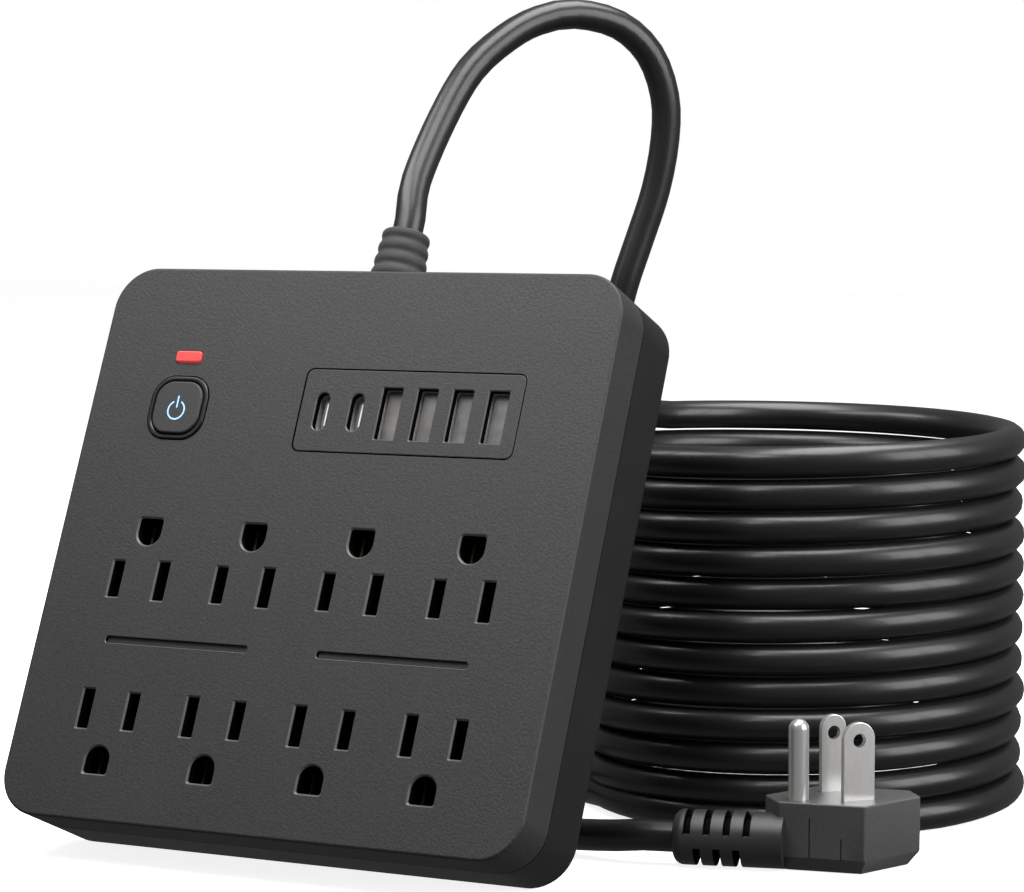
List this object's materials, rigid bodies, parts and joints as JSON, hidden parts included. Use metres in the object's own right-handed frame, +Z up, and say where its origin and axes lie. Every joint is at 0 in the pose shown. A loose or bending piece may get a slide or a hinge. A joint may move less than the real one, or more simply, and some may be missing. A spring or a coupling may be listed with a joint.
{
  "type": "surge protector",
  "caption": "Leaning multi-outlet surge protector with USB ports, a push switch, an indicator lens and a coiled cord with a flat grounded plug",
  "frame": {"origin": "Bottom centre of the housing with its gland, measured without the cord and the plug, on the surface that it stands on", "axes": "+Z up, +X to the right along the housing's width as its face is seen, +Y away from the viewer of the face; the face leans back from vertical"},
  "size_m": [0.196, 0.2108, 0.201],
  "materials": {
    "shell": "fine matte texture",
    "trim": "satin",
    "insulator": "matte",
    "rubber": "matte",
    "cord": "glossy vinyl sheath",
    "nickel": "nickel plated",
    "brass": "plain",
    "steel": "zinc plated",
    "board": "solder mask",
    "varistor": "epoxy coated",
    "tape": "polyester tape",
    "red": "translucent",
    "light": "lit translucent",
    "black_wire": "satin",
    "white_wire": "satin",
    "green_wire": "satin"
  },
  "bodies": {
    "housing": {"button_bezel": "trim", "contact_block": "insulator", "cord_coil": "cord", "cord_gland": "rubber", "filter_capacitor": "tape", "front_cover": "shell", "ground_bus_bar_lower": "brass", "ground_bus_bar_upper": "brass", "ground_pin": "nickel", "ground_wire": "green_wire", "hot_blade": "nickel", "hot_bus_bar_lower": "brass", "hot_bus_bar_upper": "brass", "housing_screw_1": "steel", "housing_screw_2": "steel", "housing_screw_3": "steel", "housing_screw_4": "steel", "indicator_led": "red", "indicator_lens": "red", "line_wire": "black_wire", "main_board": "board", "neutral_blade": "nickel", "neutral_bus_bar_lower": "brass", "neutral_bus_bar_upper": "brass", "neutral_wire": "white_wire", "plug_body": "trim", "plug_strain_relief": "trim", "power_cord_lead": "cord", "power_cord_loop": "cord", "rear_cover": "shell", "return_spring": "steel", "rubber_foot_1": "rubber", "rubber_foot_2": "rubber", "rubber_foot_3": "rubber", "rubber_foot_4": "rubber", "switch_body": "insulator", "thermal_fuse": "steel", "transformer": "tape", "usb_a_shell_1": "nickel", "usb_a_shell_2": "nickel", "usb_a_shell_3": "nickel", "usb_a_shell_4": "nickel", "usb_a_tongue_1": "insulator", "usb_a_tongue_2": "insulator", "usb_a_tongue_3": "insulator", "usb_a_tongue_4": "insulator", "usb_board": "board", "usb_c_shell_1": "nickel", "usb_c_shell_2": "nickel", "usb_c_tongue_1": "insulator", "usb_c_tongue_2": "insulator", "usb_panel": "shell", "varistor_1": "varistor", "varistor_2": "varistor", "varistor_3": "varistor"},
    "button": {"contact_bridge": "brass", "power_button": "trim", "power_icon": "light", "switch_plunger": "insulator"}
  },
  "joints": [
    {"name": "power_button_press", "type": "slide", "parent": "housing", "child": "button", "axis": [0, 0.9164, -0.4003], "range_m": [0, 0.0015], "stiffness_N_per_m": 800, "springref_m": -0.001, "deforming": ["return_spring"]}
  ]
}
